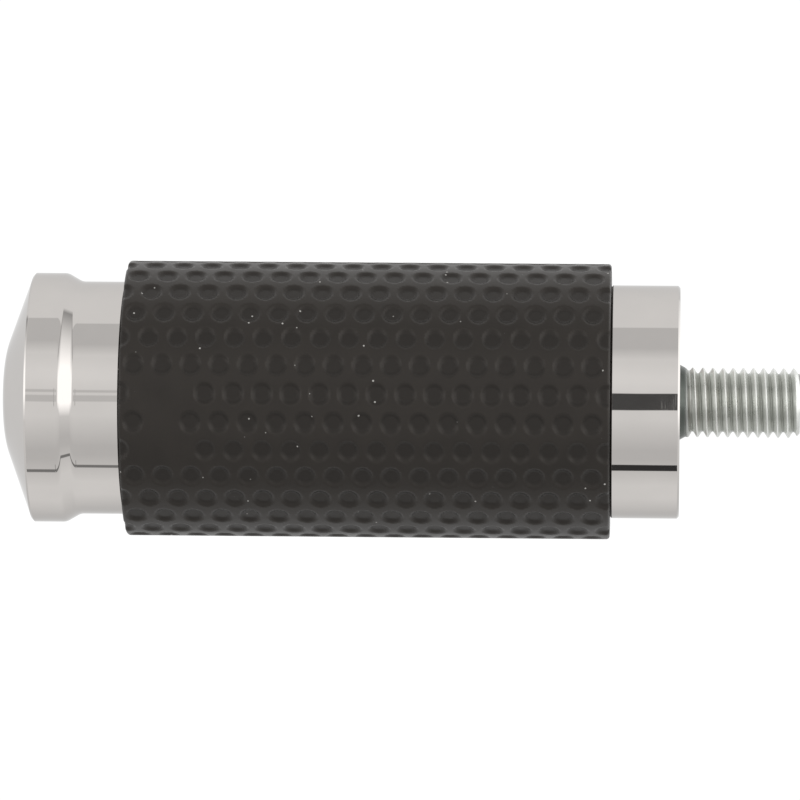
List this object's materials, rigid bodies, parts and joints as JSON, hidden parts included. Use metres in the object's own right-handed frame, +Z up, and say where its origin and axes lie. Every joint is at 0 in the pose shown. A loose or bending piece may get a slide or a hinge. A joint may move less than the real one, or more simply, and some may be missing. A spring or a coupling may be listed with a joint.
{
  "type": "foot peg",
  "caption": "Round motorcycle foot peg with a dimpled rubber sleeve, a conical chromed end cap, a chromed collar and a threaded mounting stud.",
  "frame": {"origin": "centre of the collar's mounting face, on the peg's axis", "axes": "+X out along the mounting stud, the peg lies along -X, +Z up"},
  "size_m": [0.0718, 0.0248, 0.0248],
  "materials": {
    "chrome": "polished chrome plate",
    "sleeve_rubber": "moulded, satin",
    "barrel_aluminium": "extruded",
    "zinc_steel": "zinc plated, rolled thread",
    "seal_rubber": "smooth",
    "nylon": "moulded",
    "black_steel": "black oxide",
    "ground_steel": "ground"
  },
  "bodies": {
    "peg": {"barrel": "barrel_aluminium", "rubber_sleeve": "sleeve_rubber", "inner_collar": "chrome", "collar_dowel_pin": "ground_steel", "mounting_stud": "zinc_steel", "stud_grub_screw": "black_steel"},
    "cap_seal": {"cap_o_ring": "seal_rubber"},
    "cap": {"end_cap": "chrome", "cap_lock_pellet": "nylon"}
  },
  "joints": [
    {"name": "cap_travel", "type": "slide", "parent": "peg", "child": "cap_seal", "axis": [-1, 0, 0], "range_m": [0, 0.00794]},
    {"name": "cap_turn", "type": "hinge", "parent": "cap_seal", "child": "cap", "pos_m": [-0.04975, 0, 0], "axis": [-1, 0, 0], "range_deg": [0, 2700]}
  ],
  "couplings": [
    {"joint": "cap_turn", "follows": "cap_travel", "rad_per_m": 5936.9}
  ]
}
